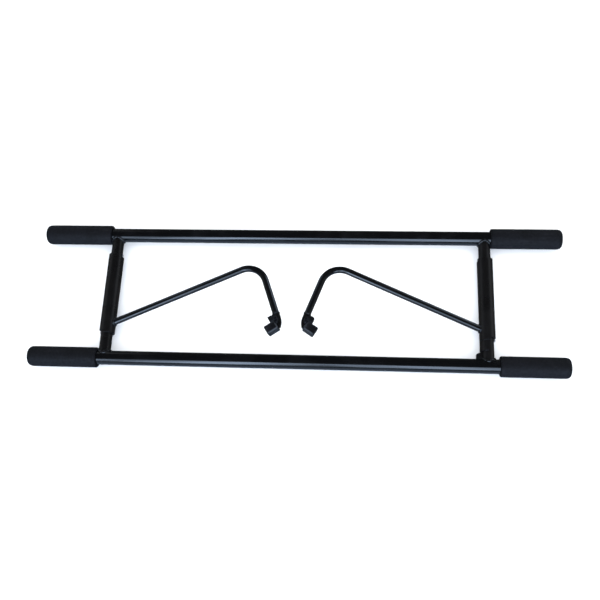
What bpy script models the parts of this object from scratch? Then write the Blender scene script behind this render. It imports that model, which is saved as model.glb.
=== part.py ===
"""Folding doorway pull-up bar: two long bars, two posts, and two hook arms on sleeves.

Units are metres, +Z is up. The bar lies on the ground plane, folded for storage.
+X runs along the long bars, +Y from the front bar to the rear bar. The origin is
on the ground, under the middle of the frame.
"""
import math

import bmesh
import bpy

NAME = "pull_up_bar"

# Clearance that keeps touching solids apart.
GAP = 0.0003
# Where a cutter must cross a solid, it runs past it by this much.
OVERRUN = 0.002
# Points closer than this are one point.
MERGE_DISTANCE = 0.000005
# Edges sharper than these stay sharp in shading, and are rounded by a bevel.
SMOOTH_ANGLE = math.radians(35.0)
BEVEL_ANGLE = math.radians(40.0)

# Long bars: two straight tubes, parallel to X.
BAR_RADIUS = 0.0127
BAR_WALL = 0.0015
BAR_SPACING = 0.238
BAR_HALF_LENGTH = 0.473

# Foam grips on the four bar ends. The front right one starts 8 mm further out.
GRIP_RADIUS = 0.01825
GRIP_BORE = BAR_RADIUS + GAP
GRIP_OUTER_X = 0.476
GRIP_INNER_X = 0.350
GRIP_END_ROUND = 0.005
GRIP_END_TAPER = 0.008
GRIP_INNER_ROUND = 0.002
GRIP_END_STEPS = 4
GRIP_INNER_STEPS = 2
FRONT_RIGHT_INNER_X = 0.358

# Plastic plugs that close the bar ends, inside the foam.
PLUG_FLANGE_RADIUS = 0.0125
PLUG_FLANGE = 0.002
PLUG_STEM = 0.015
PLUG_LEAD_IN = 0.001

# Cross posts: round tubes from bar to bar, their ends shaped to the bars.
POST_X = 0.339
POST_RADIUS = 0.01065
POST_WALL = 0.0020

# Sleeves that turn on the posts.
SLEEVE_RADIUS = 0.0140
SLEEVE_BORE = 0.0125
SLEEVE_FRONT_Y = -0.0745
SLEEVE_REAR_Y = 0.0785
BUSH_LENGTH = 0.020
BUSH_INSET = 0.009

# Swing of the arms, up from the folded stop to square with the frame.
FOLDED_ANGLE = math.radians(9.0)
SWING = math.radians(81.0)

# Stop pins in the posts, and the notches in the sleeve ends that they run in.
PIN_RADIUS = 0.0022
PIN_INNER = 0.0060
PIN_OUTER = 0.0138
NOTCH_DEPTH = 0.0050
NOTCH_START = math.radians(15.0)
STOP_CLEARANCE = math.radians(1.5)

# Hook arms, in the plane of the arm: "reach" is measured from the post's axis,
# "along" is the row's Y.
ROD_RADIUS = 0.0060
ROD_SIDES_RESOLUTION = 7
ROD_FOOT_ALONG = -0.0575
ROD_RISE = math.radians(21.0)
SHAFT_LEAN = math.radians(20.0)
SHAFT_END = (0.3156, -0.0460)
ELBOW_RADIUS = 0.036
ELBOW_STEPS = 12

# Hook head, in jaw axes: "bite" points at the door trim, "rise" points along the
# face that the upper pad presses. The jaw's corner is where the two pads meet.
JAW_CORNER = (0.3080, -0.0645)
JAW_ANGLE = math.radians(212.0)
PLATE_HALF = 0.0040
PLATE_BACK_RADIUS = 0.030
PLATE_BACK_CENTRE = (0.2959, -0.0623)
PLATE_BACK_FROM = math.radians(20.0)
PLATE_BACK_TO = math.radians(-21.0)
PLATE_BACK_STEPS = 9
PLATE_SEAT = -0.0073
TANG_TIP = 0.0080
TANG_TOP = -0.0030
TANG_BOTTOM = -0.0110
BOOT_BITE = (-0.0080, 0.0137)
BOOT_RISE = (-0.0165, 0.0)
BOOT_HALF = 0.0095
# A rebate in the boot's top, behind its seat, takes the foot of the upper pad.
REBATE_BITE = 0.0004
REBATE_DEPTH = 0.0010
PAD_HALF = 0.0078
PAD_TOP = 0.0113
PAD_CHEEK_NECK = (-0.0090, 0.0090)
PAD_CHEEK_BACK = -0.0150
PAD_CHEEK_SHOULDER = 0.0068
PAD_CHEEK_LOW = -0.0068
PAD_CHEEK_CHAMFER = 0.0034
RUBBER_EDGE = 0.0012

# Screws through the upper pad's cheeks and the hook plate, in jaw axes.
SCREW_SPOTS = ((-0.0125, 0.0022), (-0.0110, -0.0024))
SCREW_HEAD_RADIUS = 0.0022
SCREW_HEAD = 0.0012
SCREW_RADIUS = 0.0012

# Half collar and foot lug, welded to the right post only.
COLLAR_FRONT_Y = -0.0935
COLLAR_FROM = math.radians(-175.0)
COLLAR_TO = math.radians(-3.0)
COLLAR_STEPS = 14
LUG_REACH = 0.0205
LUG_TOP_Y = -0.0940
LUG_SHOULDER_Y = -0.0985
LUG_TOP_WIDTH = 0.0015
LUG_HALF = 0.0040
LUG_EDGE = 0.0006

BAR_STEPS = 36
GRIP_STEPS = 32
POST_STEPS = 32
BUSH_STEPS = 24
SMALL_STEPS = 14

BAR_Z = GRIP_RADIUS
REAR_Y = BAR_SPACING / 2
FRONT_Y = -BAR_SPACING / 2
SIDES = {"left": -1, "right": 1}
ALONG_X = (0.0, math.pi / 2, 0.0)
ALONG_Y = (-math.pi / 2, 0.0, 0.0)


# ---- Scene, collections and materials ----

def clear_scene():
    for obj in list(bpy.data.objects):
        bpy.data.objects.remove(obj, do_unlink=True)


def new_collection(name):
    collection = bpy.data.collections.new(name)
    bpy.context.scene.collection.children.link(collection)
    return collection


def new_material(name, color, roughness, metallic):
    material = bpy.data.materials.new(name)
    material.use_nodes = True
    shader = material.node_tree.nodes["Principled BSDF"]
    shader.inputs["Base Color"].default_value = (*color, 1.0)
    shader.inputs["Roughness"].default_value = roughness
    shader.inputs["Metallic"].default_value = metallic
    return material


clear_scene()
PARTS = new_collection(NAME)
CUTTERS = new_collection(NAME + "_cutters")
GLOSS_PAINT = new_material("gloss_black_paint", (0.010, 0.011, 0.014), 0.22, 0.0)
SATIN_PAINT = new_material("satin_black_paint", (0.012, 0.012, 0.014), 0.38, 0.0)
FOAM = new_material("black_foam", (0.017, 0.019, 0.028), 0.85, 0.0)
RUBBER = new_material("black_rubber", (0.014, 0.015, 0.018), 0.60, 0.0)
PLASTIC = new_material("black_plastic", (0.020, 0.020, 0.022), 0.50, 0.0)
NYLON = new_material("natural_nylon", (0.62, 0.60, 0.55), 0.45, 0.0)
STEEL = new_material("zinc_steel", (0.42, 0.42, 0.44), 0.35, 1.0)
BLACK_STEEL = new_material("black_oxide_steel", (0.020, 0.020, 0.022), 0.40, 1.0)


# ---- Building blocks ----

def add_object(name, mesh, material, parent=None):
    obj = bpy.data.objects.new(name, mesh)
    obj.parent = parent
    if material is None:
        CUTTERS.objects.link(obj)
        obj.hide_render = True
        obj.display_type = "WIRE"
    else:
        PARTS.objects.link(obj)
        obj.data.materials.append(material)
    return obj


def shade_round(mesh):
    mesh.shade_smooth()
    mesh.set_sharp_from_angle(angle=SMOOTH_ANGLE)


def add_turned(name, profile, steps, material, location, rotation, parent=None):
    """Turn a closed profile of (radius, height), outer side first, top to bottom."""
    mesh = bpy.data.meshes.new(name)
    outline = bmesh.new()
    points = [outline.verts.new((radius, 0.0, height)) for radius, height in profile]
    hollow = min(radius for radius, _ in profile) > 0.0
    pairs = list(zip(points, points[1:]))
    if hollow:
        pairs.append((points[-1], points[0]))
    for first, second in pairs:
        outline.edges.new((first, second))
    outline.to_mesh(mesh)
    outline.free()
    obj = add_object(name, mesh, material, parent)
    obj.location = location
    obj.rotation_euler = rotation
    screw = obj.modifiers.new("turn", "SCREW")
    screw.axis = "Z"
    screw.steps = steps
    screw.render_steps = steps
    screw.use_merge_vertices = True
    screw.merge_threshold = MERGE_DISTANCE
    screw.use_smooth_shade = True
    return obj


def tube_profile(outer, inner, low, high):
    return [(outer, high), (outer, low), (inner, low), (inner, high)]


def rod_profile(radius, low, high):
    return [(0.0, high), (radius, high), (radius, low), (0.0, low)]


def mesh_from_curve(name, curve, material, parent):
    """Turn a filled curve into a closed mesh object, with its caps welded on."""
    source = bpy.data.objects.new(name + "_curve", curve)
    PARTS.objects.link(source)
    source.parent = parent
    graph = bpy.context.evaluated_depsgraph_get()
    mesh = bpy.data.meshes.new_from_object(source.evaluated_get(graph))
    mesh.materials.clear()
    bpy.data.objects.remove(source, do_unlink=True)
    welded = bmesh.new()
    welded.from_mesh(mesh)
    bmesh.ops.remove_doubles(welded, verts=welded.verts, dist=MERGE_DISTANCE)
    bmesh.ops.recalc_face_normals(welded, faces=welded.faces)
    welded.to_mesh(mesh)
    welded.free()
    return add_object(name, mesh, material, parent)


def add_outline(name, points, half, material, parent=None):
    """Extrude a flat outline of (x, y) by half its thickness to each side."""
    curve = bpy.data.curves.new(name, "CURVE")
    curve.dimensions = "2D"
    curve.fill_mode = "BOTH"
    curve.extrude = half
    spline = curve.splines.new("POLY")
    spline.points.add(len(points) - 1)
    for spot, (x, y) in zip(spline.points, points):
        spot.co = (x, y, 0.0, 1.0)
    spline.use_cyclic_u = True
    return mesh_from_curve(name, curve, material, parent)


def add_rod(name, points, radius, material, parent=None):
    """A round rod that follows a list of points in the parent's XY plane."""
    curve = bpy.data.curves.new(name, "CURVE")
    curve.dimensions = "3D"
    curve.bevel_depth = radius
    curve.bevel_resolution = ROD_SIDES_RESOLUTION
    curve.use_fill_caps = True
    spline = curve.splines.new("POLY")
    spline.points.add(len(points) - 1)
    for spot, (x, y) in zip(spline.points, points):
        spot.co = (x, y, 0.0, 1.0)
    return mesh_from_curve(name, curve, material, parent)


def cut(obj, cutter, solver="EXACT"):
    boolean = obj.modifiers.new("cut_" + cutter.name, "BOOLEAN")
    boolean.operation = "DIFFERENCE"
    boolean.solver = solver
    boolean.object = cutter


def round_edges(obj, width, segments=2):
    bevel = obj.modifiers.new("round", "BEVEL")
    bevel.width = width
    bevel.segments = segments
    bevel.limit_method = "ANGLE"
    bevel.angle_limit = BEVEL_ANGLE


def arc(centre, radius, start, end, steps):
    """Points on an arc, its two ends included."""
    angles = [start + (end - start) * step / steps for step in range(steps + 1)]
    return [(centre[0] + radius * math.cos(a), centre[1] + radius * math.sin(a)) for a in angles]


# ---- Frame: bars, end plugs and foam grips ----

def add_bar(name, bar_y):
    profile = tube_profile(BAR_RADIUS, BAR_RADIUS - BAR_WALL, -BAR_HALF_LENGTH, BAR_HALF_LENGTH)
    add_turned(name, profile, BAR_STEPS, GLOSS_PAINT, (0.0, bar_y, BAR_Z), ALONG_X)


def add_plug(name, side, bar_y):
    """The plug's height runs outwards from the end of the bar."""
    stem_radius = BAR_RADIUS - BAR_WALL - GAP
    flange_top = GAP + PLUG_FLANGE
    profile = [
        (0.0, flange_top),
        (PLUG_FLANGE_RADIUS - PLUG_LEAD_IN, flange_top),
        (PLUG_FLANGE_RADIUS, flange_top - PLUG_LEAD_IN),
        (PLUG_FLANGE_RADIUS, GAP),
        (stem_radius, GAP),
        (stem_radius, -PLUG_STEM + PLUG_LEAD_IN),
        (stem_radius - PLUG_LEAD_IN, -PLUG_STEM),
        (0.0, -PLUG_STEM),
    ]
    place = (side * BAR_HALF_LENGTH, bar_y, BAR_Z)
    add_turned(name, profile, BUSH_STEPS, PLASTIC, place, (0.0, side * math.pi / 2, 0.0))


def grip_profile(length):
    """Foam sleeve: height 0 at its inner end, a long round over at its outer end."""
    inner_centre = (GRIP_RADIUS - GRIP_INNER_ROUND, GRIP_INNER_ROUND)
    quarter = math.pi / 2
    outer_end = [(GRIP_RADIUS + GRIP_END_ROUND * (radial - 1.0), length + GRIP_END_TAPER * (axial - 1.0))
                 for radial, axial in arc((0.0, 0.0), 1.0, quarter, 0.0, GRIP_END_STEPS)]
    inner_end = arc(inner_centre, GRIP_INNER_ROUND, 0.0, -quarter, GRIP_INNER_STEPS)
    return outer_end + inner_end + [(GRIP_BORE, 0.0), (GRIP_BORE, length)]


def add_grip(name, side, bar_y, inner_x):
    place = (side * inner_x, bar_y, BAR_Z)
    turn = (0.0, side * math.pi / 2, 0.0)
    add_turned(name, grip_profile(GRIP_OUTER_X - inner_x), GRIP_STEPS, FOAM, place, turn)


def add_bars():
    for row, bar_y in (("front", FRONT_Y), ("rear", REAR_Y)):
        add_bar(row + "_bar", bar_y)
        for hand, side in SIDES.items():
            pushed_out = (row, hand) == ("front", "right")
            inner_x = FRONT_RIGHT_INNER_X if pushed_out else GRIP_INNER_X
            add_plug(row + "_" + hand + "_end_plug", side, bar_y)
            add_grip(row + "_" + hand + "_foam_grip", side, bar_y, inner_x)


# ---- Posts, stop pins, half collar and foot lug ----

def stop_pin_angle():
    """Where the front pin stands: from straight up towards the outboard side."""
    half_pin = math.asin(PIN_RADIUS / SLEEVE_RADIUS)
    return NOTCH_START + SWING + half_pin + STOP_CLEARANCE


def notch_end():
    half_pin = math.asin(PIN_RADIUS / SLEEVE_RADIUS)
    return stop_pin_angle() + half_pin + STOP_CLEARANCE


def pin_rotation(side, angle):
    """Turn +Z by the angle about the post, towards the outboard side."""
    return (0.0, side * angle, 0.0)


def bar_cutter(name, bar_y):
    length = 4 * POST_RADIUS
    profile = rod_profile(BAR_RADIUS + GAP, -length, length)
    return add_turned(name, profile, BAR_STEPS, None, (0.0, bar_y, BAR_Z), ALONG_X)


def saddle_cutters(hand, side):
    cutters = []
    for row, bar_y in (("front", FRONT_Y), ("rear", REAR_Y)):
        cutter = bar_cutter("saddle_" + hand + "_" + row, bar_y)
        cutter.location.x = side * POST_X
        cutters.append(cutter)
    return cutters


def add_post(hand, side, cutters):
    profile = tube_profile(POST_RADIUS, POST_RADIUS - POST_WALL, FRONT_Y, REAR_Y)
    place = (side * POST_X, 0.0, BAR_Z)
    post = add_turned(hand + "_post", profile, POST_STEPS, SATIN_PAINT, place, ALONG_Y)
    for cutter in cutters:
        cut(post, cutter)
    return post


def add_stop_pin(name, side, pin_y, angle, post):
    """A pin pressed into one wall of the post, with the hole that it sits in."""
    place = (side * POST_X, pin_y, BAR_Z)
    turn = pin_rotation(side, angle)
    profile = rod_profile(PIN_RADIUS, PIN_INNER, PIN_OUTER)
    add_turned(name, profile, SMALL_STEPS, STEEL, place, turn)
    hole = rod_profile(PIN_RADIUS + GAP, PIN_INNER, POST_RADIUS + OVERRUN)
    cut(post, add_turned(name + "_hole", hole, SMALL_STEPS, None, place, turn))


def add_half_collar(hand, side):
    """A half shell round the inboard side of the post's foot."""
    inner_radius = POST_RADIUS + GAP
    outer = arc((0.0, 0.0), SLEEVE_RADIUS, COLLAR_FROM, COLLAR_TO, COLLAR_STEPS)
    inner = arc((0.0, 0.0), inner_radius, COLLAR_TO, COLLAR_FROM, COLLAR_STEPS)
    rear_y = SLEEVE_FRONT_Y - 2 * GAP
    half = (rear_y - COLLAR_FRONT_Y) / 2
    # The arcs' angles run from straight up to outboard, so (sin, cos) is (x, z).
    outline = [(side * y, x) for x, y in outer + inner]
    collar = add_outline(hand + "_half_collar", outline, half, SATIN_PAINT)
    collar.location = (side * POST_X, (rear_y + COLLAR_FRONT_Y) / 2, BAR_Z)
    collar.rotation_euler = (math.pi / 2, 0.0, 0.0)
    shade_round(collar.data)


def add_foot_lug(hand, side, cutters):
    """A small chamfered block in the inboard corner of post and front bar."""
    root = POST_RADIUS + GAP
    outline = [
        (-side * root, FRONT_Y + BAR_RADIUS / 2),
        (-side * LUG_REACH, FRONT_Y + BAR_RADIUS / 2),
        (-side * LUG_REACH, LUG_SHOULDER_Y),
        (-side * (root + LUG_TOP_WIDTH), LUG_TOP_Y),
        (-side * root, LUG_TOP_Y),
    ]
    lug = add_outline(hand + "_foot_lug", outline, LUG_HALF, SATIN_PAINT)
    lug.location = (side * POST_X, 0.0, BAR_Z)
    for cutter in cutters:
        cut(lug, cutter)
    post_cutter = add_turned("lug_post_clearance", rod_profile(root, FRONT_Y, 0.0), POST_STEPS,
                             None, (side * POST_X, 0.0, BAR_Z), ALONG_Y)
    cut(lug, post_cutter)
    round_edges(lug, LUG_EDGE, 1)


def add_posts():
    front_pin_y = SLEEVE_FRONT_Y + NOTCH_DEPTH - GAP - PIN_RADIUS
    rear_pin_y = SLEEVE_REAR_Y - NOTCH_DEPTH + GAP + PIN_RADIUS
    for hand, side in SIDES.items():
        cutters = saddle_cutters(hand, side)
        post = add_post(hand, side, cutters)
        angle = stop_pin_angle()
        add_stop_pin(hand + "_front_stop_pin", side, front_pin_y, angle, post)
        add_stop_pin(hand + "_rear_stop_pin", side, rear_pin_y, angle + math.pi, post)
        if hand == "right":
            add_half_collar(hand, side)
            add_foot_lug(hand, side, cutters[:1])


# ---- Arms: sleeves, bushes, rods and hook heads ----

def arm_axis(hand, side):
    """The empty on the arm's hinge axis. Its X reaches along the folded arm."""
    axis = bpy.data.objects.new(hand + "_arm_axis", None)
    PARTS.objects.link(axis)
    axis.location = (side * POST_X, 0.0, BAR_Z)
    axis.rotation_euler = (0.0, side * FOLDED_ANGLE, 0.0)
    return axis


def notch_cutter(name, side, low_y, high_y, turn, axis):
    """A sector that takes the notch out of one end of the sleeve."""
    reach = SLEEVE_RADIUS + OVERRUN
    start = NOTCH_START - FOLDED_ANGLE + turn
    end = notch_end() - FOLDED_ANGLE + turn
    rim = arc((0.0, 0.0), reach, start, end, BUSH_STEPS)
    outline = [(0.0, 0.0)] + [(side * y, x) for x, y in rim]
    cutter = add_outline(name, outline, (high_y - low_y) / 2, None, axis)
    cutter.location = (0.0, (low_y + high_y) / 2, 0.0)
    cutter.rotation_euler = (math.pi / 2, 0.0, 0.0)
    return cutter


def add_sleeve(hand, side, axis):
    profile = tube_profile(SLEEVE_RADIUS, SLEEVE_BORE, SLEEVE_FRONT_Y, SLEEVE_REAR_Y)
    sleeve = add_turned(hand + "_sleeve", profile, POST_STEPS, SATIN_PAINT, (0.0, 0.0, 0.0),
                        ALONG_Y, axis)
    front = (SLEEVE_FRONT_Y - OVERRUN, SLEEVE_FRONT_Y + NOTCH_DEPTH)
    rear = (SLEEVE_REAR_Y - NOTCH_DEPTH, SLEEVE_REAR_Y + OVERRUN)
    cut(sleeve, notch_cutter(hand + "_front_notch", side, *front, 0.0, axis))
    cut(sleeve, notch_cutter(hand + "_rear_notch", side, *rear, math.pi, axis))


def add_bushes(hand, axis):
    front = SLEEVE_FRONT_Y + BUSH_INSET
    rear = SLEEVE_REAR_Y - BUSH_INSET - BUSH_LENGTH
    for row, low in (("front", front), ("rear", rear)):
        profile = tube_profile(SLEEVE_BORE - GAP, POST_RADIUS + GAP, low, low + BUSH_LENGTH)
        add_turned(hand + "_" + row + "_bush", profile, BUSH_STEPS, NYLON, (0.0, 0.0, 0.0),
                   ALONG_Y, axis)


def rod_path():
    """Centre line of an arm's rod: straight rise, one cold bend, straight shaft."""
    along = (math.cos(ROD_RISE), math.sin(ROD_RISE))
    down = (math.sin(SHAFT_LEAN), -math.cos(SHAFT_LEAN))
    across = along[0] * down[1] - along[1] * down[0]
    from_foot = (SHAFT_END[0], SHAFT_END[1] - ROD_FOOT_ALONG)
    run = (from_foot[0] * down[1] - from_foot[1] * down[0]) / across
    corner = (run * along[0], ROD_FOOT_ALONG + run * along[1])
    turn = ROD_RISE + math.pi / 2 - SHAFT_LEAN
    setback = ELBOW_RADIUS * math.tan(turn / 2)
    start = (corner[0] - setback * along[0], corner[1] - setback * along[1])
    centre = (start[0] + ELBOW_RADIUS * along[1], start[1] - ELBOW_RADIUS * along[0])
    first = ROD_RISE + math.pi / 2
    elbow = arc(centre, ELBOW_RADIUS, first, first - turn, ELBOW_STEPS)
    return [(0.0, ROD_FOOT_ALONG)] + elbow + [SHAFT_END]


def inboard(side, points):
    """Arm-plane points (reach, along) in the arm axis's frame."""
    return [(-side * reach, along) for reach, along in points]


def from_jaw(bite, rise):
    """A point given in jaw axes, as (reach, along)."""
    across = JAW_ANGLE - math.pi / 2
    reach = JAW_CORNER[0] + bite * math.cos(JAW_ANGLE) + rise * math.cos(across)
    along = JAW_CORNER[1] + bite * math.sin(JAW_ANGLE) + rise * math.sin(across)
    return (reach, along)


def add_arm_rod(hand, side, axis):
    rod = add_rod(hand + "_arm_rod", inboard(side, rod_path()), ROD_RADIUS, SATIN_PAINT, axis)
    cope = rod_profile(SLEEVE_RADIUS + GAP, SLEEVE_FRONT_Y, SLEEVE_REAR_Y)
    cut(rod, add_turned(hand + "_rod_cope", cope, POST_STEPS, None, (0.0, 0.0, 0.0),
                        ALONG_Y, axis))
    shade_round(rod.data)


def plate_outline():
    """Crescent hook plate with a tang for the boot, in (reach, along)."""
    down = (math.sin(SHAFT_LEAN), -math.cos(SHAFT_LEAN))
    start = (SHAFT_END[0] + GAP * down[0], SHAFT_END[1] + GAP * down[1])
    inner = (start[0] + ROD_RADIUS * down[1], start[1] - ROD_RADIUS * down[0])
    outer = (start[0] - ROD_RADIUS * down[1], start[1] + ROD_RADIUS * down[0])
    back = arc(PLATE_BACK_CENTRE, PLATE_BACK_RADIUS, PLATE_BACK_FROM, PLATE_BACK_TO,
               PLATE_BACK_STEPS)
    shoulder = BOOT_BITE[0] - GAP
    jaw_side = [
        (shoulder, TANG_BOTTOM - OVERRUN),
        (shoulder, TANG_BOTTOM),
        (TANG_TIP, TANG_BOTTOM),
        (TANG_TIP, TANG_TOP),
        (shoulder, TANG_TOP),
        (shoulder, GAP - REBATE_DEPTH),
        (PLATE_SEAT, GAP - REBATE_DEPTH),
        (PLATE_SEAT, PAD_TOP),
    ]
    return [inner, outer] + back + [from_jaw(*spot) for spot in jaw_side]


def jaw_box(name, side, bites, rises, half, material, axis):
    corners = [(bites[0], rises[0]), (bites[1], rises[0]), (bites[1], rises[1]),
               (bites[0], rises[1])]
    outline = inboard(side, [from_jaw(*corner) for corner in corners])
    return add_outline(name, outline, half, material, axis)


def add_boot(hand, side, axis):
    """Rubber block on the plate's tang. Its top face sits on the door trim."""
    boot = jaw_box(hand + "_end_boot", side, BOOT_BITE, BOOT_RISE, BOOT_HALF, RUBBER, axis)
    round_edges(boot, RUBBER_EDGE)
    pocket = jaw_box(hand + "_boot_pocket", side, (BOOT_BITE[0] - OVERRUN, TANG_TIP + GAP),
                     (TANG_BOTTOM - GAP, TANG_TOP + GAP), PLATE_HALF + GAP, None, axis)
    cut(boot, pocket)
    rebate = jaw_box(hand + "_boot_rebate", side, (BOOT_BITE[0] - OVERRUN, REBATE_BITE),
                     (-REBATE_DEPTH, OVERRUN), BOOT_HALF + OVERRUN, None, axis)
    cut(boot, rebate)


def pad_outline():
    """Upper pad: a block on the plate's edge, with cheeks over both plate faces."""
    cheek_low = BOOT_BITE[0] - 2 * GAP
    foot = GAP - REBATE_DEPTH
    jaw = [
        (0.0, foot),
        (0.0, PAD_TOP),
        (PLATE_SEAT, PAD_TOP),
        PAD_CHEEK_NECK,
        (PAD_CHEEK_BACK, PAD_CHEEK_SHOULDER),
        (PAD_CHEEK_BACK, PAD_CHEEK_LOW + PAD_CHEEK_CHAMFER),
        (PAD_CHEEK_BACK + PAD_CHEEK_CHAMFER, PAD_CHEEK_LOW),
        (cheek_low, PAD_CHEEK_LOW),
        (cheek_low, foot),
    ]
    return [from_jaw(*spot) for spot in jaw]


def slot_outline():
    """The slot in the pad that the hook plate's edge fits, open below the block."""
    back = PAD_CHEEK_BACK - OVERRUN
    low = PAD_CHEEK_LOW - OVERRUN
    seat = PLATE_SEAT + GAP
    jaw = [
        (back, low),
        (BOOT_BITE[0] + OVERRUN, low),
        (BOOT_BITE[0] + OVERRUN, OVERRUN),
        (seat, OVERRUN),
        (seat, PAD_TOP + OVERRUN),
        (back, PAD_TOP + OVERRUN),
    ]
    return [from_jaw(*spot) for spot in jaw]


def add_pad(hand, side, axis, screw_holes):
    pad = add_outline(hand + "_upper_pad", inboard(side, pad_outline()), PAD_HALF, RUBBER, axis)
    round_edges(pad, RUBBER_EDGE)
    slot = add_outline(hand + "_pad_slot", inboard(side, slot_outline()), PLATE_HALF + GAP,
                       None, axis)
    cut(pad, slot)
    for hole in screw_holes:
        cut(pad, hole, "MANIFOLD")


def add_plate(hand, side, axis, screw_holes):
    plate = add_outline(hand + "_hook_plate", inboard(side, plate_outline()), PLATE_HALF,
                        SATIN_PAINT, axis)
    for hole in screw_holes:
        cut(plate, hole)
    shade_round(plate.data)


def add_screws(hand, side, axis):
    """Two screws with their heads on top. Returns the cutters for their holes."""
    head_low = PAD_HALF + GAP
    head_top = head_low + SCREW_HEAD
    profile = [
        (0.0, head_top),
        (SCREW_HEAD_RADIUS - SCREW_HEAD / 2, head_top),
        (SCREW_HEAD_RADIUS, head_low + SCREW_HEAD / 2),
        (SCREW_HEAD_RADIUS, head_low),
        (SCREW_RADIUS, head_low),
        (SCREW_RADIUS, -PAD_HALF + GAP),
        (0.0, -PAD_HALF + GAP),
    ]
    hole_profile = rod_profile(SCREW_RADIUS + GAP, -PAD_HALF - OVERRUN, PAD_HALF + OVERRUN)
    holes = []
    for number, spot in enumerate(SCREW_SPOTS, start=1):
        x, y = inboard(side, [from_jaw(*spot)])[0]
        name = hand + "_pad_screw_" + str(number)
        add_turned(name, profile, SMALL_STEPS, BLACK_STEEL, (x, y, 0.0), (0.0, 0.0, 0.0), axis)
        holes.append(add_turned(name + "_hole", hole_profile, SMALL_STEPS, None, (x, y, 0.0),
                                (0.0, 0.0, 0.0), axis))
    return holes


def add_arms():
    for hand, side in SIDES.items():
        axis = arm_axis(hand, side)
        add_sleeve(hand, side, axis)
        add_bushes(hand, axis)
        add_arm_rod(hand, side, axis)
        screw_holes = add_screws(hand, side, axis)
        add_plate(hand, side, axis, screw_holes)
        add_boot(hand, side, axis)
        add_pad(hand, side, axis, screw_holes)


add_bars()
add_posts()
add_arms()
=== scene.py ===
"""Looks of the folding doorway pull-up bar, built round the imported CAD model.

Metres, +Z up, in the CAD's own frame. Every visible piece is made here again with fine geometry
and a procedural material, and rides on the body of the CAD node that it stands for.
"""

import cmath
import math

import bmesh
import bpy
from mathutils import Matrix, Vector, noise


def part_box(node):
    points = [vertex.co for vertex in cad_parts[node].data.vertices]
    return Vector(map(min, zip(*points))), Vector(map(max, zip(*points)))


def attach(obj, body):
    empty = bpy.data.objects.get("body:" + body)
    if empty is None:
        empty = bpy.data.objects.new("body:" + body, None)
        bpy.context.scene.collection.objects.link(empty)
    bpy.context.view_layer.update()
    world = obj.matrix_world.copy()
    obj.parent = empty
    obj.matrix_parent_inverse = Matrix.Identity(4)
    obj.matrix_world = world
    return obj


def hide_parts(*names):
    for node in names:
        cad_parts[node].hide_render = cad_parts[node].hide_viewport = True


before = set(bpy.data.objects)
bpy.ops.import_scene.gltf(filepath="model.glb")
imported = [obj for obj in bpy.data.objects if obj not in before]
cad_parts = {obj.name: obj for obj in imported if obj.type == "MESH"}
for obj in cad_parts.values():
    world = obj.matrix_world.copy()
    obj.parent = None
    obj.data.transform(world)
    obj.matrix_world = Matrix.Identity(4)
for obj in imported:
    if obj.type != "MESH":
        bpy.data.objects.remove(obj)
bpy.context.view_layer.update()

SIDES = {"left": -1, "right": 1}
ROWS = ("front", "rear")
FULL = 2 * math.pi
QUARTER = math.pi / 2

# ---- Sizes read from the frame ----


def middle(node):
    low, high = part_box(node)
    return (low + high) / 2


def extent(node):
    low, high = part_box(node)
    return high - low


BAR_RADIUS = extent("front_bar").z / 2
BAR_HALF_LENGTH = extent("front_bar").x / 2
BAR_Z = middle("front_bar").z
BAR_Y = {row: middle(row + "_bar").y for row in ROWS}
POST_X = middle("right_post").x
POST_RADIUS = extent("right_post").x / 2
SLEEVE_RADIUS = extent("right_sleeve").x / 2
SLEEVE_FRONT_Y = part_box("right_sleeve")[0].y
SLEEVE_REAR_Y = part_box("right_sleeve")[1].y
GRIP_RADIUS = extent("front_left_foam_grip").z / 2
PLUG_RADIUS = extent("front_left_end_plug").z / 2

# ---- Sizes that the frame's boxes don't show ----

GAP = 0.0003
BAR_WALL = 0.0015
POST_WALL = 0.0020
SLEEVE_BORE = 0.0125
GRIP_BORE = BAR_RADIUS + GAP
FOLDED_ANGLE = math.radians(9.0)
NOTCH_START = math.radians(15.0)
NOTCH_END = math.radians(117.0)
NOTCH_DEPTH = 0.0050
PIN_RADIUS = 0.0022
PIN_ANGLE = math.radians(106.5)
PIN_FOOT = 0.0092
PIN_TIP = 0.0138

# Arm, in its own plane: reach from the post's axis, and along, which is the frame's Y.
ROD_RADIUS = 0.0060
ROD_FOOT_ALONG = -0.0575
ROD_RISE = math.radians(21.0)
SHAFT_LEAN = math.radians(20.0)
SHAFT_END = complex(0.3156, -0.0460)
ELBOW_RADIUS = 0.036
PLATE_HALF = 0.0040
PLATE_BACK_RADIUS = 0.030
PLATE_BACK_CENTRE = complex(0.2959, -0.0623)

# Hook head, in jaw axes: bite points at the trim, rise along the upper pad's face.
JAW_CORNER = complex(0.3080, -0.0645)
JAW_ANGLE = math.radians(212.0)
BOOT_BITE = (-0.0080, 0.0137)
BOOT_DEEP = -0.0165
BOOT_HALF = 0.0095
PAD_HALF = 0.0078
PAD_TOP = 0.0113
PLATE_SEAT = -0.0073
SCREW_SPOTS = ((-0.0125, 0.0022), (-0.0110, -0.0024))
SCREW_RADIUS = 0.0022

# ---- Materials ----


def add_node(tree, kind, **inputs):
    node = tree.nodes.new(kind)
    for name, value in inputs.items():
        set_input(tree, node.inputs[name.replace("_", " ")], value)
    return node


def set_input(tree, socket, value):
    if isinstance(value, bpy.types.NodeSocket):
        tree.links.new(value, socket)
    else:
        socket.default_value = value


def speckle(tree, place, scale, detail=2.0, kind="ShaderNodeTexNoise"):
    """The strength, 0 to 1, of a noise of that many cycles a metre."""
    cells = add_node(tree, kind, Vector=place, Scale=scale, Detail=detail)
    return cells.outputs["Fac" if "Fac" in cells.outputs else "Distance"]


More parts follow.
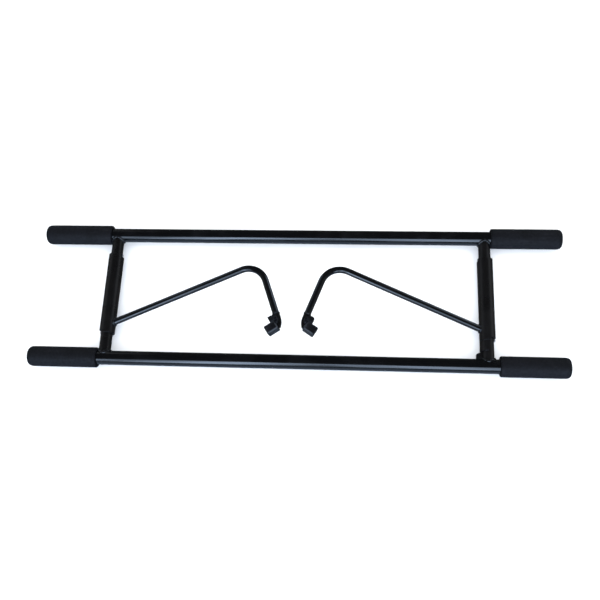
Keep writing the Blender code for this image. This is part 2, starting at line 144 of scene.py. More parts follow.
def between(tree, value, low, high, out_low, out_high):
    """Value from low..high, mapped to out_low..out_high and held there."""
    ramp = tree.nodes.new("ShaderNodeMapRange")
    for name, number in (("From Min", low), ("From Max", high), ("To Min", out_low), ("To Max", out_high)):
        ramp.inputs[name].default_value = number
    tree.links.new(value, ramp.inputs["Value"])
    return ramp.outputs["Result"]


def arithmetic(tree, operation, first, second):
    node = tree.nodes.new("ShaderNodeMath")
    node.operation = operation
    set_input(tree, node.inputs[0], first)
    set_input(tree, node.inputs[1], second)
    return node.outputs["Value"]


def blended(tree, share, first, second):
    """Colour first where share is 0, second where it is 1."""
    mix = tree.nodes.new("ShaderNodeMix")
    mix.data_type = "RGBA"
    tree.links.new(share, mix.inputs["Factor"])
    for slot, value in ((6, first), (7, second)):
        if isinstance(value, tuple):
            value = (*value, 1.0)
        set_input(tree, mix.inputs[slot], value)
    return mix.outputs[2]


def stretched(tree, place, x, y, z):
    mapping = tree.nodes.new("ShaderNodeMapping")
    mapping.inputs["Scale"].default_value = (x, y, z)
    tree.links.new(place, mapping.inputs["Vector"])
    return mapping.outputs["Vector"]


def worn_edge(tree, radius, low, high):
    """1 on edges sharper than the radius, 0 elsewhere."""
    bevel = add_node(tree, "ShaderNodeBevel", Radius=radius)
    bevel.samples = 6
    plain = tree.nodes.new("ShaderNodeNewGeometry")
    dot = tree.nodes.new("ShaderNodeVectorMath")
    dot.operation = "DOT_PRODUCT"
    tree.links.new(bevel.outputs["Normal"], dot.inputs[0])
    tree.links.new(plain.outputs["Normal"], dot.inputs[1])
    return between(tree, dot.outputs["Value"], high, low, 0.0, 1.0)


def bumped(tree, shader, layers):
    """Bump layers, coarse first: (height, distance in metres, strength)."""
    normal = None
    for height, distance, strength in layers:
        bump = tree.nodes.new("ShaderNodeBump")
        bump.inputs["Strength"].default_value = strength
        bump.inputs["Distance"].default_value = distance
        tree.links.new(height, bump.inputs["Height"])
        if normal is not None:
            tree.links.new(normal, bump.inputs["Normal"])
        normal = bump.outputs["Normal"]
    tree.links.new(normal, shader.inputs["Normal"])


def start_material(name, **plain):
    """A Principled material. Plain values are set on the shader's own sockets."""
    material = bpy.data.materials.new(name)
    material.use_nodes = True
    tree = material.node_tree
    shader = tree.nodes["Principled BSDF"]
    for socket, value in plain.items():
        shader.inputs[socket.replace("_", " ")].default_value = value
    place = tree.nodes.new("ShaderNodeTexCoord").outputs["Object"]
    return material, tree, shader, place


def paint(name, color, dust, smooth, rough, grain, grain_scale, coat):
    """Sprayed or powder-coated black paint: cloudy gloss, fine peel, a few rubs, soft edge wear."""
    material, tree, shader, place = start_material(name, Coat_Weight=coat, Coat_Roughness=0.06)
    cloud = speckle(tree, place, 28.0, 4.0)
    peel = speckle(tree, place, grain_scale)
    fine = speckle(tree, place, grain_scale * 4.0)
    rubs = speckle(tree, stretched(tree, place, 14.0, 420.0, 420.0), 1.0, 3.0)
    marks = between(tree, rubs, 0.66, 0.74, 0.0, 1.0)
    specks = between(tree, speckle(tree, place, 900.0, 1.0), 0.74, 0.80, 0.0, 0.35)
    edge = worn_edge(tree, 0.0007, 0.80, 0.97)
    dusty = arithmetic(tree, "MAXIMUM", between(tree, cloud, 0.52, 0.78, 0.0, 0.30), specks)
    lighter = arithmetic(tree, "MAXIMUM", dusty, arithmetic(tree, "MULTIPLY", edge, 0.55))
    tree.links.new(blended(tree, lighter, color, dust), shader.inputs["Base Color"])
    gloss = between(tree, cloud, 0.30, 0.75, smooth, rough)
    scuffed = arithmetic(tree, "ADD", gloss, arithmetic(tree, "MULTIPLY", marks, 0.10))
    edged = arithmetic(tree, "ADD", scuffed, arithmetic(tree, "MULTIPLY", edge, 0.12))
    tree.links.new(edged, shader.inputs["Roughness"])
    bumped(tree, shader, [(peel, 0.00012, grain), (fine, 0.00004, grain), (marks, 0.00001, 0.3)])
    return material


def foam():
    """Closed-cell foam rubber: matte skin, small open cells darkened with painted shade, faint lighter rubs.
    """
    material, tree, shader, place = start_material("black_foam")
    shader.inputs["Specular IOR Level"].default_value = 0.22
    cells = speckle(tree, place, 900.0, 1.0, "ShaderNodeTexVoronoi")
    pores = between(tree, cells, 0.16, 0.52, 0.0, 1.0)
    skin = speckle(tree, place, 210.0, 4.0)
    cloud = speckle(tree, place, 24.0, 3.0)
    rubs = between(tree, speckle(tree, stretched(tree, place, 40.0, 260.0, 260.0), 1.0, 4.0),
                   0.58, 0.76, 0.0, 0.55)
    base = blended(tree, between(tree, cloud, 0.30, 0.72, 0.0, 1.0), (0.0016, 0.0021, 0.0040),
                   (0.0030, 0.0038, 0.0070))
    rubbed = blended(tree, rubs, base, (0.010, 0.0115, 0.0155))
    # Painted shade: the open cells are coloured near-black for the shade that falls inside them.
    pore_shaded_color = blended(tree, pores, (0.0004, 0.0005, 0.0008), rubbed)
    tree.links.new(pore_shaded_color, shader.inputs["Base Color"])
    tree.links.new(between(tree, skin, 0.30, 0.72, 0.55, 0.78), shader.inputs["Roughness"])
    bumped(tree, shader, [(skin, 0.0004, 0.50), (pores, 0.00025, 0.80)])
    return material


def moulded(name, color, worn, smooth, rough, grain, grain_scale, shine):
    """Moulded rubber or plastic: fine spark texture, cloudy gloss, rubbed edges."""
    material, tree, shader, place = start_material(name)
    shader.inputs["Specular IOR Level"].default_value = shine
    cloud = speckle(tree, place, 70.0, 3.0)
    texture = speckle(tree, place, grain_scale, 3.0)
    edge = worn_edge(tree, 0.0009, 0.80, 0.97)
    dusty = between(tree, cloud, 0.48, 0.80, 0.0, 0.45)
    share = arithmetic(tree, "MAXIMUM", dusty, arithmetic(tree, "MULTIPLY", edge, 0.60))
    tree.links.new(blended(tree, share, color, worn), shader.inputs["Base Color"])
    tree.links.new(between(tree, cloud, 0.30, 0.75, smooth, rough), shader.inputs["Roughness"])
    bumped(tree, shader, [(texture, 0.0001, grain)])
    return material


def steel(name, dark, light, smooth, rough):
    """Plated or blackened steel: slightly blotchy, fine turning marks."""
    material, tree, shader, place = start_material(name, Metallic=1.0)
    cloud = speckle(tree, place, 160.0, 3.0)
    lines = speckle(tree, stretched(tree, place, 600.0, 600.0, 5200.0), 1.0)
    tree.links.new(blended(tree, cloud, dark, light), shader.inputs["Base Color"])
    tree.links.new(between(tree, cloud, 0.30, 0.75, smooth, rough), shader.inputs["Roughness"])
    bumped(tree, shader, [(lines, 0.00003, 0.4)])
    return material


GLOSS_PAINT = paint("gloss_black_paint", color=(0.0011, 0.0013, 0.0018), dust=(0.008, 0.009, 0.012),
                    smooth=0.11, rough=0.20, grain=0.10, grain_scale=380.0, coat=0.25)
SATIN_PAINT = paint("satin_black_paint", color=(0.0013, 0.0013, 0.0016), dust=(0.009, 0.009, 0.011),
                    smooth=0.24, rough=0.36, grain=0.22, grain_scale=900.0, coat=0.0)
ROD_PAINT = paint("satin_black_rod_paint", color=(0.0011, 0.0013, 0.0018), dust=(0.008, 0.009, 0.012),
                  smooth=0.13, rough=0.23, grain=0.14, grain_scale=500.0, coat=0.20)
WELD_PAINT = paint("painted_weld", color=(0.0018, 0.0019, 0.0025), dust=(0.010, 0.011, 0.013),
                   smooth=0.17, rough=0.30, grain=0.35, grain_scale=700.0, coat=0.1)
FOAM = foam()
RUBBER = moulded("black_rubber", color=(0.0030, 0.0034, 0.0046), worn=(0.016, 0.018, 0.025),
                 smooth=0.17, rough=0.30, grain=0.22, grain_scale=1500.0, shine=0.38)
PLASTIC = moulded("black_plastic", color=(0.010, 0.010, 0.011), worn=(0.040, 0.040, 0.043),
                  smooth=0.36, rough=0.50, grain=0.25, grain_scale=1100.0, shine=0.5)
NYLON = moulded("natural_nylon", color=(0.62, 0.60, 0.55), worn=(0.72, 0.70, 0.66),
                smooth=0.30, rough=0.45, grain=0.15, grain_scale=900.0, shine=0.5)
ZINC = steel("zinc_steel", dark=(0.30, 0.31, 0.33), light=(0.56, 0.56, 0.57), smooth=0.24, rough=0.42)
BLACK_STEEL = steel("black_oxide_steel", dark=(0.016, 0.016, 0.019), light=(0.034, 0.034, 0.039),
                    smooth=0.28, rough=0.44)

# ---- Mesh building ----

SHARP = math.radians(38.0)
UP = Vector((0.0, 0.0, 1.0))
ALONG_BARS = Vector((1.0, 0.0, 0.0))
ALONG_POSTS = Vector((0.0, 1.0, 0.0))


def add_piece(name, rings, body, material, nodes=(), wrap=False, inner=None):
    """A closed mesh lofted through rings of equal length. Unless it wraps, its ends are capped."""
    form = bmesh.new()
    rows = [[form.verts.new(point) for point in ring] for ring in rings]
    pairs = list(zip(rows, rows[1:]))
    if wrap:
        pairs.append((rows[-1], rows[0]))
    else:
        form.faces.new(rows[0])
        form.faces.new(rows[-1])
    for low, high in pairs:
        for i, corner in enumerate(low):
            form.faces.new((low[i - 1], corner, high[i], high[i - 1]))
    bmesh.ops.recalc_face_normals(form, faces=form.faces)
    mesh = bpy.data.meshes.new(name)
    form.to_mesh(mesh)
    form.free()
    mesh.materials.append(material)
    mesh.shade_smooth()
    mesh.set_sharp_from_angle(angle=SHARP)
    piece = bpy.data.objects.new(name, mesh)
    bpy.context.scene.collection.objects.link(piece)
    weighted = piece.modifiers.new("even_shading", "WEIGHTED_NORMAL")
    weighted.keep_sharp = True
    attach(piece, body)
    if nodes:
        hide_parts(*nodes)
    return piece


def axes(origin, x_axis, y_axis, z_axis):
    """The matrix that puts local points into the frame."""
    return Matrix.Translation(origin) @ Matrix((x_axis, y_axis, z_axis)).transposed().to_4x4()


def bar_end(side, y):
    """Local +Z runs outwards along a bar from X = 0."""
    return axes((0.0, y, BAR_Z), ALONG_POSTS, UP, side * ALONG_BARS)


def arm_plane(side):
    """Local X is reach, Y is along, and Z stands off the folded arm's upper face."""
    cos, sin = math.cos(FOLDED_ANGLE), math.sin(FOLDED_ANGLE)
    return axes((side * POST_X, 0.0, BAR_Z), (-side * cos, 0.0, sin), ALONG_POSTS, (side * sin, 0.0, cos))


def turned(profile, sides, matrix):
    """Rings of a profile of complex (radius, height) points, turned about local Z."""
    return [[matrix @ Vector((point.real * math.cos(FULL * i / sides),
                              point.real * math.sin(FULL * i / sides), point.imag))
             for i in range(sides)] for point in profile]


def arc(centre, radius, start, end, steps):
    return [centre + cmath.rect(radius, start + (end - start) * i / steps) for i in range(steps + 1)]


def rounded(corners, steps=4):
    """A closed outline through (x, y, radius) corners, each rounded by its radius, or sharp at 0."""
    spots = [complex(x, y) for x, y, _ in corners]
    outline = []
    for i, (_, _, radius) in enumerate(corners):
        corner = spots[i]
        back = spots[i - 1] - corner
        on = spots[(i + 1) % len(spots)] - corner
        back, on = back / abs(back), on / abs(on)
        half = abs(cmath.phase(on / back)) / 2
        if radius == 0 or abs(half - QUARTER) < 0.01:
            outline.append(corner)
            continue
        middle_way = (back + on) / abs(back + on)
        centre = corner + middle_way * radius / math.sin(half)
        start = corner + back * radius / math.tan(half) - centre
        sweep = cmath.phase((corner + on * radius / math.tan(half) - centre) / start)
        outline += [centre + start * cmath.rect(1.0, sweep * k / steps) for k in range(steps + 1)]
    return outline


def inset(outline, distance):
    """The outline moved inwards by a distance. It runs anticlockwise."""
    moved = []
    for i, spot in enumerate(outline):
        back = spot - outline[i - 1]
        on = outline[(i + 1) % len(outline)] - spot
        first, second = 1j * back / abs(back), 1j * on / abs(on)
        normal = first + second
        normal /= abs(normal)
        moved.append(spot + normal * distance / max(0.5, (normal * first.conjugate()).real))
    return moved


def shrunk(corners, distance):
    """Outline corners (x, y, radius) moved inwards, their rounds kept parallel to the first ones."""
    spots = [complex(x, y) for x, y, _ in corners]
    moved = inset(spots, distance)
    result = []
    for i, (_, _, radius) in enumerate(corners):
        if radius:
            back, on = spots[i] - spots[i - 1], spots[(i + 1) % len(spots)] - spots[i]
            convex = (back.conjugate() * on).imag > 0
            radius = max(radius - distance, 0.00002) if convex else radius + distance
        result.append((moved[i].real, moved[i].imag, radius))
    return result


def slab(corners, half, edge, matrix, seam=0.0, steps=5, power=1.0):
    """Rings of a flat outline, half to each side, with eased edges: round at power 1, flatter above it."""
    clockwise = sum(x * corners[i - 1][1] - corners[i - 1][0] * y for i, (x, y, _) in enumerate(corners)) > 0
    if clockwise:
        corners = corners[::-1]
    levels = [(-half, edge + 0.0002)]
    for k in range(steps + 1):
        turn = QUARTER * k / steps
        levels.append((-half + edge - edge * math.cos(turn) ** power,
                       edge - edge * math.sin(turn) ** power))
    upper = [(-height, depth) for height, depth in reversed(levels)]
    if seam:
        levels += [(-2 * seam, 0.0), (0.0, -seam), (2 * seam, 0.0)]
    return [[matrix @ Vector((p.real, p.imag, height)) for p in rounded(shrunk(corners, depth), 6)]
            for height, depth in levels + upper]


def round_ways(direction, up, sides):
    """Unit vectors all round a direction. The first one is square to both direction and up."""
    across = direction.cross(up).normalized()
    over = across.cross(direction).normalized()
    return [across * math.cos(FULL * k / sides) + over * math.sin(FULL * k / sides) for k in range(sides)]


def swept(path, radius, sides, up):
    """Rings of a round tube along a path of points."""
    rings = []
    for i, spot in enumerate(path):
        ahead = path[min(i + 1, len(path) - 1)] - path[max(i - 1, 0)]
        rings.append([spot + radius * way for way in round_ways(ahead, up, sides)])
    return rings


def reach(spot, direction, centre, axis, radius):
    """How far from a spot, in a direction, a cylinder's surface lies."""
    from_axis = spot - centre
    flat_spot = from_axis - axis * from_axis.dot(axis)
    flat_way = direction - axis * direction.dot(axis)
    a, b = flat_way.dot(flat_way), flat_spot.dot(flat_way)
    c = flat_spot.dot(flat_spot) - radius ** 2
    return (-b - math.sqrt(max(b * b - a * c, 0.0))) / a


def meeting(start, direction, radius, centre, axis, cylinder_radius, sides):
    """The seam where a round rod's surface reaches a cylinder: (point, outward) pairs."""
    direction = direction.normalized()
    pairs = []
    for outward in round_ways(direction, axis, sides):
        spot = start + radius * outward
        point = spot + reach(spot, direction, centre, axis, cylinder_radius) * direction
        from_axis = point - centre
        surface = (from_axis - axis * from_axis.dot(axis)).normalized()
        pairs.append((point, (outward + surface).normalized()))
    return pairs


def bead(pairs, size, ripples):
    """Rings of a weld bead along a closed seam, with the ripples that a weld pool leaves."""
    rings = []
    for i, (point, outward) in enumerate(pairs):
        ahead = (pairs[(i + 1) % len(pairs)][0] - pairs[i - 1][0]).normalized()
        across = ahead.cross(outward).normalized()
        swell = size * (1.0 + 0.07 * math.sin(ripples * FULL * i / len(pairs))
                        + 0.10 * noise.noise(point * 260.0))
        rings.append([point + swell * (outward * (math.cos(FULL * k / 16) * 0.92 + 0.14)
                                       + across * math.sin(FULL * k / 16)) for k in range(16)])
    return rings


# ---- Frame: bars, plugs and foam grips ----

PLUG_FLANGE = 0.0020


def add_bar(row):
    corners = [(BAR_RADIUS, BAR_HALF_LENGTH, 0.0003), (BAR_RADIUS, -BAR_HALF_LENGTH, 0.0003),
               (BAR_RADIUS - BAR_WALL, -BAR_HALF_LENGTH, 0.0003),
               (BAR_RADIUS - BAR_WALL, BAR_HALF_LENGTH, 0.0003)]
    rings = turned(rounded(corners, 2), 96, bar_end(1, BAR_Y[row]))
    add_piece(row + "_bar_tube", rings, "frame", GLOSS_PAINT, [row + "_bar"],
              wrap=True)


def add_plug(name, side, y):
    """A pressed-in cap with a shallow dish and a raised ring."""
    stem = BAR_RADIUS - BAR_WALL - GAP
    start = BAR_HALF_LENGTH + GAP
    face = start + PLUG_FLANGE
    profile = [complex(0.0006, face - 0.0008), complex(0.0070, face - 0.0008)]
    profile += arc(complex(0.0078, face - 0.0006), 0.0006, math.pi, QUARTER, 3)
    profile += arc(complex(PLUG_RADIUS - 0.0010, face - 0.0010), 0.0010, QUARTER, 0.0, 4)
    profile += [complex(PLUG_RADIUS, start), complex(stem, start)]
    profile += [complex(stem, start - 0.0145), complex(stem - 0.001, start - 0.0155),
                complex(0.0006, start - 0.0155)]
    add_piece(name + "_cap", turned(profile, 64, bar_end(side, y)), "frame", PLASTIC,
              [name])


GRIP_SIDES = 144
GRIP_STEP = 0.0010
SKIN_DEPTH = 0.00028


def grip_profile(inner, outer):
    """Foam tube: a long round over at its outer end, a softer lip at its inner end."""
    radial, taper = 0.0050, 0.0085
    profile = [complex(GRIP_RADIUS + radial * (p.real - 1.0), outer + taper * (p.imag - 1.0))
               for p in arc(0.0, 1.0, QUARTER, 0.0, 12)]
    top, low = outer - taper, inner + 0.0030
    runs = int((top - low) / GRIP_STEP)
    profile += [complex(GRIP_RADIUS, top + (low - top) * k / runs) for k in range(1, runs)]
    profile += arc(complex(GRIP_RADIUS - 0.0030, low), 0.0030, 0.0, -QUARTER, 8)
    profile += arc(complex(GRIP_BORE + 0.0008, inner + 0.0008), 0.0008, -QUARTER, -math.pi, 3)
    profile += arc(complex(GRIP_BORE + 0.0008, outer - 0.0008), 0.0008, math.pi, QUARTER, 3)
    return profile


def press_skin(rings, axis_y):
    """Foam skin isn't even: soft dents, broad and fine, only ever inwards."""
    for ring in rings:
        for point in ring:
            from_axis = Vector((0.0, point.y - axis_y, point.z - BAR_Z))
            distance = from_axis.length
            if distance < GRIP_BORE + 0.0015:
                continue
            broad = 0.5 + 0.5 * noise.noise(point * 55.0)
            fine = 0.5 + 0.5 * noise.noise(point * 330.0)
            point -= from_axis / distance * SKIN_DEPTH * (0.65 * broad + 0.35 * fine)
    return rings


def add_grip(name, side, y):
    low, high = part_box(name)
    inner, outer = sorted((abs(low.x), abs(high.x)))
    rings = press_skin(turned(grip_profile(inner, outer), GRIP_SIDES, bar_end(side, y)), y)
    grip = add_piece(name + "_sleeve", rings, "frame", FOAM, [name], wrap=True)


# ---- Posts with their welds, pins, half collar and lug ----


def add_post(hand, side):
    """A tube whose ends are cut to the bars' round."""
    def end(radius, angle, row):
        height = radius * math.cos(angle)
        cut = math.sqrt((BAR_RADIUS + 0.0002) ** 2 - height ** 2)
        return BAR_Y[row] + (cut if row == "front" else -cut)

    sides, inner = 72, POST_RADIUS - POST_WALL
    rings = []
    for radius, row in ((POST_RADIUS, "front"), (POST_RADIUS, "rear"), (inner, "rear"), (inner, "front")):
        rings.append([Vector((side * POST_X + radius * math.sin(FULL * k / sides),
                              end(radius, FULL * k / sides, row),
                              BAR_Z + radius * math.cos(FULL * k / sides))) for k in range(sides)])
    add_piece(hand + "_post_tube", rings, "frame", SATIN_PAINT, [hand + "_post"],
              wrap=True)


def add_post_weld(hand, side, row):
    bar = Vector((0.0, BAR_Y[row], BAR_Z))
    towards = Vector((0.0, math.copysign(1.0, BAR_Y[row]), 0.0))
    seam = meeting(Vector((side * POST_X, 0.0, BAR_Z)), towards, POST_RADIUS, bar,
                   ALONG_BARS, BAR_RADIUS, 120)
    add_piece(hand + "_" + row + "_post_weld", bead(seam, 0.0024, 20), "frame",
              WELD_PAINT, wrap=True)


def add_stop_pin(hand, side, row):
    name = hand + "_" + row + "_stop_pin"
    turn = PIN_ANGLE if row == "front" else PIN_ANGLE + math.pi
    outward = Vector((side * math.sin(turn), 0.0, math.cos(turn)))
    place = axes((side * POST_X, middle(name).y, BAR_Z), outward.cross(ALONG_POSTS), ALONG_POSTS, outward)
    profile = [complex(0.0003, PIN_TIP)]
    profile += arc(complex(PIN_RADIUS - 0.0006, PIN_TIP - 0.0006), 0.0006, QUARTER, 0.0, 4)
    profile += [complex(PIN_RADIUS, PIN_FOOT), complex(0.0003, PIN_FOOT)]
    add_piece(name + "_head", turned(profile, 32, place), "frame", ZINC, [name])


def add_half_collar():
    """A half shell round the inboard side of the right post's foot."""
    low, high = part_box("right_half_collar")
    inner, edge = POST_RADIUS + 0.0001, 0.0006
    section = rounded([(inner, low.y, 0.0001), (SLEEVE_RADIUS, low.y, edge),
                       (SLEEVE_RADIUS, high.y, edge), (inner, high.y, 0.0001)], 3)
    rings = []
    for k in range(49):
        angle = math.radians(-175.0 + 172.0 * k / 48)
        rings.append([Vector((POST_X + p.real * math.sin(angle), p.imag, BAR_Z + p.real * math.cos(angle)))
                      for p in section])
    add_piece("right_half_collar_shell", rings, "frame", SATIN_PAINT,
              ["right_half_collar"])


def add_foot_lug():
    """The small chamfered block in the right post's inboard corner."""
    low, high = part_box("right_foot_lug")
    outline = [(low.x, low.y - 0.0008, 0.0), (high.x + 0.0006, low.y - 0.0008, 0.0),
               (high.x + 0.0006, high.y, 0.0), (high.x - 0.0015, high.y, 0.0008),
               (low.x, low.y + 0.0080, 0.0010)]
    rings = slab(outline, 0.0040, 0.0008, Matrix.Translation((0.0, 0.0, BAR_Z)))
    add_piece("right_foot_lug_block", rings, "frame", SATIN_PAINT, ["right_foot_lug"])


# ---- Arms ----


NOTCH_WALL = math.radians(1.2)


def notch_share(angle, start, end):
    """1 inside a notch, 0 outside, with steep walls. Angles run from straight up to outboard."""
    centre = (start + end) / 2
    angle = (angle - centre + math.pi) % FULL - math.pi + centre
    return max(0.0, min(1.0, (angle - start) / NOTCH_WALL + 1.0, (end - angle) / NOTCH_WALL + 1.0))


def sleeve_angles():
    """Even steps, and the notches' own corners."""
    even = [FULL * k / 120 for k in range(120)]
    corners = [(turn + spot) % FULL for turn in (0.0, math.pi)
               for spot in (NOTCH_START - NOTCH_WALL, NOTCH_START, NOTCH_END, NOTCH_END + NOTCH_WALL)]
    kept = [a for a in even if all(abs(a - c) > math.radians(0.8) for c in corners)]
    return sorted(kept + corners)


def add_sleeve(hand, side):
    """A tube that turns on the post, with a stop notch in each end."""
    edge = 0.0005
    meridian = rounded([(SLEEVE_RADIUS, 0.0, edge), (SLEEVE_RADIUS, 1.0, edge),
                        (SLEEVE_BORE, 1.0, edge), (SLEEVE_BORE, 0.0, edge)], 3)
    rings = []
    for p in meridian:
        ring = []
        for angle in sleeve_angles():
            if p.imag < 0.5:
                y = SLEEVE_FRONT_Y + p.imag + NOTCH_DEPTH * notch_share(angle, NOTCH_START, NOTCH_END)
            else:
                y = SLEEVE_REAR_Y + p.imag - 1.0
                y -= NOTCH_DEPTH * notch_share(angle, NOTCH_START + math.pi, NOTCH_END + math.pi)
            ring.append(Vector((side * (POST_X + p.real * math.sin(angle)), y,
                                BAR_Z + p.real * math.cos(angle))))
        rings.append(ring)
    add_piece(hand + "_sleeve_tube", rings, hand + "_arm", SATIN_PAINT,
              [hand + "_sleeve"], wrap=True)


def add_bush(hand, side, row):
    """A plain ring with eased edges, between the sleeve and the post."""
    name = hand + "_" + row + "_bush"
    low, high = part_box(name)
    inner, outer, edge = POST_RADIUS + GAP, SLEEVE_BORE - GAP, 0.0004
    section = rounded([(outer, low.y, edge), (outer, high.y, edge),
                       (inner, high.y, edge), (inner, low.y, edge)], 3)
    place = axes((side * POST_X, 0.0, BAR_Z), ALONG_BARS, -UP, ALONG_POSTS)
    add_piece(name + "_ring", turned(section, 72, place), hand + "_arm", NYLON, [name],
              wrap=True)


def rod_line():
    """The rod's centre line in the arm's plane: its foot, and the bend that the shaft runs on from."""
    along = cmath.rect(1.0, ROD_RISE)
    down = cmath.rect(1.0, SHAFT_LEAN - QUARTER)
    foot = complex(0.0, ROD_FOOT_ALONG)
    gap = SHAFT_END - foot
    run = (gap.conjugate() * down).imag / (along.conjugate() * down).imag
    turn = ROD_RISE + QUARTER - SHAFT_LEAN
    start = foot + along * (run - ELBOW_RADIUS * math.tan(turn / 2))
    centre = start - 1j * along * ELBOW_RADIUS
    first = ROD_RISE + QUARTER
    elbow = arc(centre, ELBOW_RADIUS, first, first - turn, 40)
    return foot, elbow


def add_rod(hand, side):
    """Bent rod, cut at its foot to the sleeve's round, with a weld at each end."""
    matrix = arm_plane(side)
    foot, elbow = rod_line()
    path = [matrix @ Vector((p.real, p.imag, 0.0)) for p in elbow + [SHAFT_END]]
    up = matrix.to_3x3() @ UP
    way = (path[0] - matrix @ Vector((foot.real, foot.imag, 0.0))).normalized()
    post = Vector((side * POST_X, 0.0, BAR_Z))
    rings = swept([path[0] - way * 0.0001] + path, ROD_RADIUS, 48, up)
    cut = [spot - way * reach(spot, -way, post, ALONG_POSTS, SLEEVE_RADIUS - 0.0004) for spot in rings[0]]
    add_piece(hand + "_arm_rod_bar", [cut] + rings, hand + "_arm", ROD_PAINT,
              [hand + "_arm_rod"])
    seam = meeting(path[0], -way, ROD_RADIUS, post, ALONG_POSTS, SLEEVE_RADIUS, 72)
    add_piece(hand + "_rod_foot_weld", bead(seam, 0.0019, 13), hand + "_arm",
              WELD_PAINT, wrap=True)
    down = (path[-1] - path[-2]).normalized()
    seam = [(path[-1] + outward * (ROD_RADIUS - 0.0004) + down * 0.0002, outward)
            for outward in round_ways(down, up, 64)]
    add_piece(hand + "_rod_head_weld", bead(seam, 0.0014, 11), hand + "_arm",
              WELD_PAINT, wrap=True)


def from_jaw(bite, rise):
    """A point in jaw axes, in the arm's plane."""
    return JAW_CORNER + bite * cmath.rect(1.0, JAW_ANGLE) + rise * cmath.rect(1.0, JAW_ANGLE - QUARTER)


def in_jaw(corners):
    """Corners (bite, rise, radius), in the arm's plane."""
    placed = [from_jaw(bite, rise) for bite, rise, _ in corners]
    return [(p.real, p.imag, corner[2]) for p, corner in zip(placed, corners)]


def plate_outline():
    """Crescent plate from the rod's end to the boot, with a tang inside the boot."""
    down = cmath.rect(1.0, SHAFT_LEAN - QUARTER)
    start = SHAFT_END + GAP * down
    side_step = ROD_RADIUS * 1j * down
    back = arc(PLATE_BACK_CENTRE, PLATE_BACK_RADIUS, math.radians(20.0), math.radians(-21.0), 26)
    shoulder = BOOT_BITE[0] - GAP
    tail = [(shoulder, -0.0130), (shoulder, -0.0110), (0.0080, -0.0110), (0.0080, -0.0030),
            (shoulder, -0.0030), (shoulder, -0.0007), (PLATE_SEAT, -0.0007), (PLATE_SEAT, PAD_TOP)]
    spots = [start - side_step, start + side_step] + back + [from_jaw(*spot) for spot in tail]
    return [(p.real, p.imag, 0.0) for p in spots]


def add_plate(hand, side):
    rings = slab(plate_outline(), PLATE_HALF, 0.0009, arm_plane(side))
    add_piece(hand + "_hook_plate_blade", rings, hand + "_arm", SATIN_PAINT,
              [hand + "_hook_plate"])


def add_boot(hand, side):
    """Moulded rubber block with sloping edges and a parting line."""
    outline = in_jaw([(BOOT_BITE[0], BOOT_DEEP, 0.0016), (BOOT_BITE[1], BOOT_DEEP, 0.0016),
                      (BOOT_BITE[1], 0.0, 0.0016), (BOOT_BITE[0], 0.0, 0.0016)])
    rings = slab(outline, BOOT_HALF, 0.0027, arm_plane(side), seam=0.00015, steps=8, power=1.6)
    add_piece(hand + "_end_boot_rubber", rings, hand + "_arm", RUBBER,
              [hand + "_end_boot"])


def add_pad(hand, side):
    """Rubber pad with cheeks over the plate. The right one's outer corner is the rounder."""
    corner = 0.0012 if hand == "left" else 0.0042
    low = BOOT_BITE[0] - 2 * GAP
    outline = in_jaw([(0.0, 0.0003, 0.0005), (0.0, PAD_TOP, corner), (PLATE_SEAT, PAD_TOP, corner * 0.8),
                      (-0.0090, 0.0090, 0.0), (-0.0150, 0.0068, 0.0016), (-0.0150, -0.0034, 0.0016),
                      (-0.0116, -0.0068, 0.0016), (low, -0.0068, 0.0), (low, 0.0003, 0.0)])
    rings = slab(outline, PAD_HALF, 0.0014, arm_plane(side), seam=0.00015, steps=6)
    add_piece(hand + "_upper_pad_rubber", rings, hand + "_arm", RUBBER,
              [hand + "_upper_pad"])


def add_screw(hand, side, number, spot):
    """Pan-head screw with a hexagon socket."""
    name = hand + "_pad_screw_" + str(number)
    centre = from_jaw(*spot)
    place = arm_plane(side) @ Matrix.Translation((centre.real, centre.imag, PAD_HALF))
    profile = [complex(0.0012, -0.0030), complex(0.0012, 0.0002), complex(SCREW_RADIUS, 0.0002)]
    profile += arc(complex(SCREW_RADIUS - 0.0007, 0.0007), 0.0007, 0.0, QUARTER, 5)
    rings = turned(profile, 36, place)
    for size, height in ((0.00125, 0.0014), (0.00120, 0.0006)):
        ring = []
        for k in range(36):
            angle = FULL * k / 36
            flat = math.cos(math.pi / 6) / math.cos((angle % (math.pi / 3)) - math.pi / 6)
            ring.append(place @ Vector((size * flat * math.cos(angle), size * flat * math.sin(angle),
                                        height)))
        rings.append(ring)
    add_piece(name + "_head", rings, hand + "_arm", BLACK_STEEL, [name])


def add_object():
    for row in ROWS:
        add_bar(row)
        for hand, side in SIDES.items():
            add_plug(row + "_" + hand + "_end_plug", side, BAR_Y[row])
            add_grip(row + "_" + hand + "_foam_grip", side, BAR_Y[row])
    for hand, side in SIDES.items():
        add_post(hand, side)
        for row in ROWS:
            add_post_weld(hand, side, row)
            add_stop_pin(hand, side, row)
            add_bush(hand, side, row)
        add_sleeve(hand, side)
        add_rod(hand, side)
        add_plate(hand, side)
        add_boot(hand, side)
        add_pad(hand, side)
        for number, spot in enumerate(SCREW_SPOTS, start=1):
            add_screw(hand, side, number, spot)
    add_half_collar()
    add_foot_lug()


# ---- Studio ----


def add_floor():
    mesh = bpy.data.meshes.new("floor")
    mesh.from_pydata([(-30, -30, 0), (30, -30, 0), (30, 30, 0), (-30, 30, 0)], [], [(0, 1, 2, 3)])
    floor = bpy.data.objects.new("floor", mesh)
    floor.location.z = -0.0005
    bpy.context.scene.collection.objects.link(floor)
    material, _, shader, _ = start_material("pale_floor", Roughness=0.9)
    shader.inputs["Base Color"].default_value = (0.86, 0.865, 0.87, 1.0)
    shader.inputs["Specular IOR Level"].default_value = 0.0
    mesh.materials.append(material)
    floor.visible_glossy = False


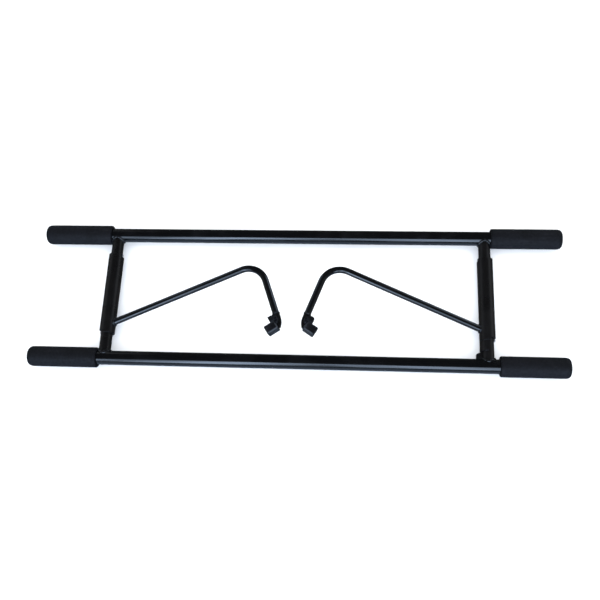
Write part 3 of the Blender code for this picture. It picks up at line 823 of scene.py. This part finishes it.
def add_world():
    """Even studio light. Reflections see a dim room, and a floor lit blue on the window's side."""
    world = bpy.data.worlds.new("studio")
    bpy.context.scene.world = world
    world.use_nodes = True
    tree = world.node_tree
    way = tree.nodes.new("ShaderNodeSeparateXYZ")
    tree.links.new(tree.nodes.new("ShaderNodeTexCoord").outputs["Generated"], way.inputs["Vector"])
    near_window = between(tree, way.outputs["Y"], -0.45, -0.05, 1.0, 0.0)
    ground = blended(tree, near_window, (0.11, 0.11, 0.11), (0.38, 0.50, 0.68))
    below = between(tree, way.outputs["Z"], -0.10, 0.05, 1.0, 0.0)
    reflected = blended(tree, below, (0.03, 0.03, 0.03), ground)
    glossy = tree.nodes.new("ShaderNodeLightPath").outputs["Is Glossy Ray"]
    color = blended(tree, glossy, (1.65, 1.642, 1.625), reflected)
    tree.links.new(color, tree.nodes["Background"].inputs["Color"])


def add_panel(name, place, size, brightness, color, only_reflected=False):
    """A softbox that faces the object. Its radiance goes with its brightness, whatever its size."""
    lamp = bpy.data.lights.new(name, "AREA")
    lamp.shape = "RECTANGLE"
    lamp.size, lamp.size_y = size
    lamp.energy = brightness * size[0] * size[1] * math.pi
    lamp.color = color
    lamp.use_shadow = False
    panel = bpy.data.objects.new(name, lamp)
    panel.location = place
    panel.rotation_euler = (-Vector(place)).to_track_quat("-Z", "Y").to_euler()
    panel.visible_diffuse = not only_reflected
    bpy.context.scene.collection.objects.link(panel)


def add_lights():
    """A wide window in front, brighter in two places, lit corners and dim walls at the sides."""
    sky = (0.60, 0.76, 1.0)
    add_panel("window", (0.0, -2.05, 1.35), (3.0, 1.8), 1.5, sky)
    add_panel("window_left", (-0.55, -2.0, 1.35), (0.75, 1.8), 3.2, sky)
    add_panel("window_left_middle", (-0.53, -2.0, 1.34), (0.30, 1.6), 3.6, sky)
    add_panel("window_right", (0.48, -2.0, 1.35), (1.0, 1.8), 2.4, sky)
    add_panel("window_right_middle", (0.48, -2.0, 1.34), (0.36, 1.6), 1.8, sky)
    add_panel("window_far_left", (-1.45, -2.0, 1.0), (0.50, 1.6), 3.6, sky, only_reflected=True)
    add_panel("window_far_right", (1.45, -2.0, 1.0), (0.50, 1.6), 4.8, sky, only_reflected=True)
    add_panel("corner_left", (-1.5, 1.75, 0.45), (0.6, 1.6), 1.5, sky, only_reflected=True)
    add_panel("corner_right", (1.5, 1.75, 0.45), (0.6, 1.6), 2.0, sky, only_reflected=True)
    add_panel("left_wall", (-1.9, 0.9, 0.7), (3.4, 1.3), 0.30, (0.92, 0.96, 1.0))
    add_panel("right_wall", (1.9, 0.9, 0.7), (3.4, 1.3), 0.45, (0.92, 0.96, 1.0))


def add_camera():
    """Above the front bar, right of the middle, slightly rolled."""
    pan, tilt, roll = math.radians(-14.63), math.radians(70.72), math.radians(-12.9)
    forward = Vector((math.sin(pan) * math.cos(tilt), math.cos(pan) * math.cos(tilt), -math.sin(tilt)))
    right = Vector((math.cos(pan), -math.sin(pan), 0.0))
    up = right.cross(forward)
    right, up = (math.cos(roll) * right + math.sin(roll) * up,
                 math.cos(roll) * up - math.sin(roll) * right)
    lens = bpy.data.cameras.new("camera")
    lens.sensor_width = 36.0
    lens.lens = 45.66
    camera = bpy.data.objects.new("camera", lens)
    camera.matrix_world = axes((0.1234, -0.4422, 1.3129), right, up, -forward)
    bpy.context.scene.collection.objects.link(camera)
    bpy.context.scene.camera = camera


add_object()
add_floor()
add_world()
add_lights()
add_camera()
bpy.context.scene.view_settings.view_transform = "Standard"
bpy.context.view_layer.update()
